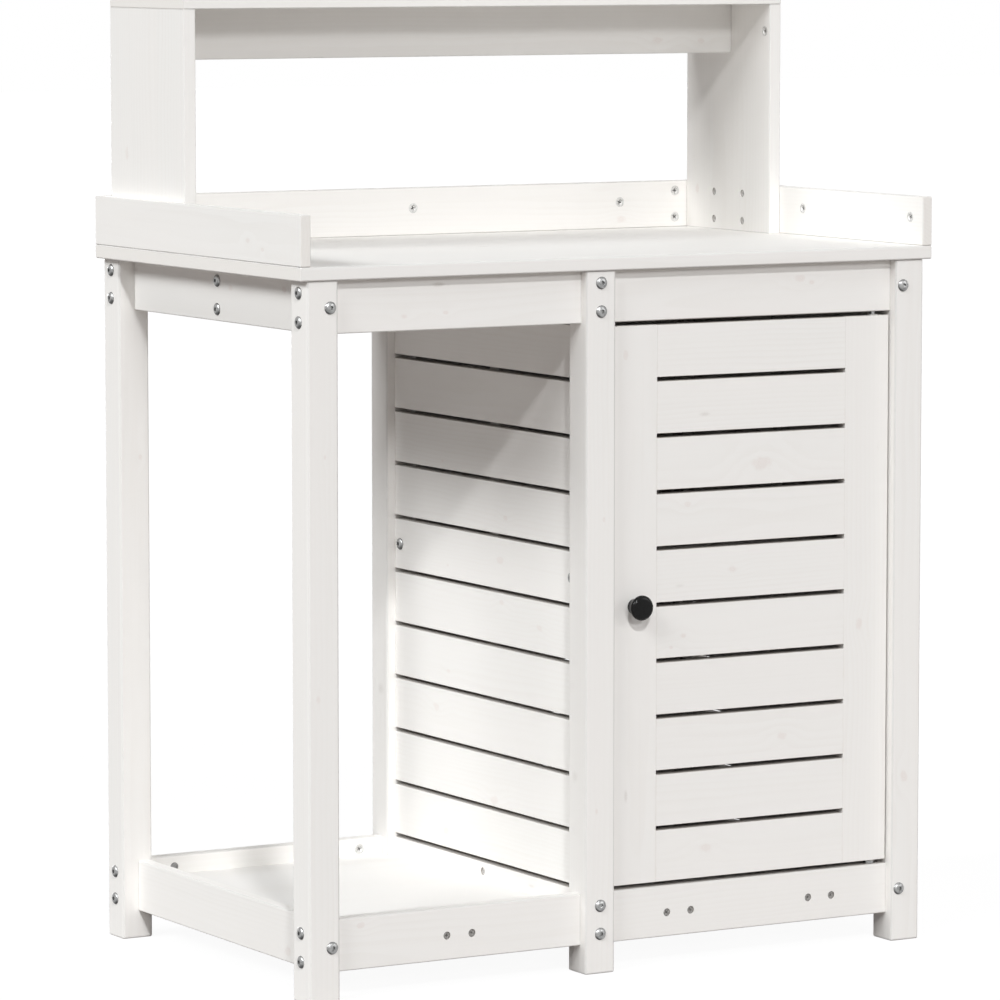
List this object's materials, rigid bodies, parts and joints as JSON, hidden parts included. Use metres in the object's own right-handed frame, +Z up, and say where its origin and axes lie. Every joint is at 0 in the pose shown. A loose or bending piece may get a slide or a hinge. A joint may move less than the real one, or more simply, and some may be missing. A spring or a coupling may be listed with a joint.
{
  "type": "potting bench",
  "caption": "Painted pine potting bench: rimmed worktop with a raised back shelf, open tray bay on the left and a slatted cupboard with a hinged door on the right.",
  "frame": {"origin": "on the floor, under the middle of the bench's overall box", "axes": "+Z up, -Y the front with the door and the tray's open side, +X towards the cupboard"},
  "size_m": [0.825, 0.5112, 1.099],
  "materials": {
    "painted_pine": "thin white paint over pine, grain and knots faintly showing",
    "painted_panel": "thin white paint over plywood",
    "zinc_steel": "zinc plated, satin",
    "painted_steel": "painted over, matt",
    "black_knob": "black, satin",
    "nylon": "natural nylon",
    "catch_plastic": "white, matt"
  },
  "bodies": {
    "frame": {"back_apron_left": "painted_pine", "back_apron_right": "painted_pine", "back_battens": "painted_pine", "back_rail_left": "painted_pine", "back_rail_right": "painted_pine", "back_slats": "painted_pine", "barrel_nuts": "zinc_steel", "batten_screws": "painted_steel", "cabinet_battens": "painted_pine", "cabinet_floor": "painted_panel", "cam_locks": "zinc_steel", "cross_rail_left": "painted_pine", "cross_rail_right": "painted_pine", "front_apron_left": "painted_pine", "front_apron_right": "painted_pine", "front_rail_left": "painted_pine", "front_rail_right": "painted_pine", "inner_shelf": "painted_panel", "inner_shelf_rail_back": "painted_pine", "inner_shelf_rail_front": "painted_pine", "left_apron": "painted_pine", "left_rail": "painted_pine", "leg_back_left": "painted_pine", "leg_back_middle": "painted_pine", "leg_back_right": "painted_pine", "leg_bolts": "zinc_steel", "leg_front_left": "painted_pine", "leg_front_middle": "painted_pine", "leg_front_right": "painted_pine", "magnetic_catch": "catch_plastic", "partition_battens": "painted_pine", "partition_bottom_board": "painted_pine", "partition_slats": "painted_pine", "partition_top_board": "painted_pine", "pivot_pins": "zinc_steel", "right_apron": "painted_pine", "right_rail": "painted_pine", "rim_back": "painted_pine", "rim_left": "painted_pine", "rim_right": "painted_pine", "short_bolts": "zinc_steel", "side_battens": "painted_pine", "side_slats": "painted_pine", "tabletop": "painted_pine", "tabletop_brackets": "zinc_steel", "top_shelf": "painted_pine", "top_shelf_rail": "painted_pine", "tray_batten": "painted_pine", "tray_floor": "painted_panel", "upright_left": "painted_pine", "upright_right": "painted_pine", "upright_screws": "painted_steel"},
    "door": {"door_stile_left": "painted_pine", "door_stile_right": "painted_pine", "door_slats": "painted_pine", "door_knob": "black_knob", "knob_screw": "zinc_steel", "pivot_bushes": "nylon", "catch_plate": "zinc_steel"}
  },
  "joints": [
    {"name": "door_hinge", "type": "hinge", "parent": "frame", "child": "door", "pos_m": [0.34552, -0.22662, 0.413], "axis": [0, 0, 1], "range_deg": [0, 110]}
  ]
}
